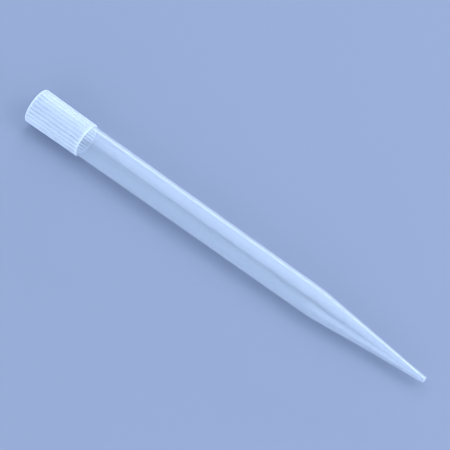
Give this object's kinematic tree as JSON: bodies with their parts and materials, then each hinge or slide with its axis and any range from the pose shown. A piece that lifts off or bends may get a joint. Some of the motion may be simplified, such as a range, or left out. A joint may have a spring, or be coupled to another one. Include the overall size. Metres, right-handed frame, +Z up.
{
  "type": "pipette tip",
  "caption": "Large disposable pipette tip: ribbed collar, long tapered barrel and long cone in one translucent moulding, lying on its side.",
  "frame": {"origin": "on the surface it lies on, under the middle of its length", "axes": "+Z up; +X along the tip, from the ribbed mouth to the delivery end, with the tip's axis 0.54 degrees below +X because it lies on the collar ribs and on the corner between barrel and cone"},
  "size_m": [0.15, 0.0116, 0.0116],
  "materials": {
    "natural_polypropylene": "satin, milky translucent"
  },
  "bodies": {
    "root": {"pipette_tip": "natural_polypropylene"}
  },
  "joints": []
}
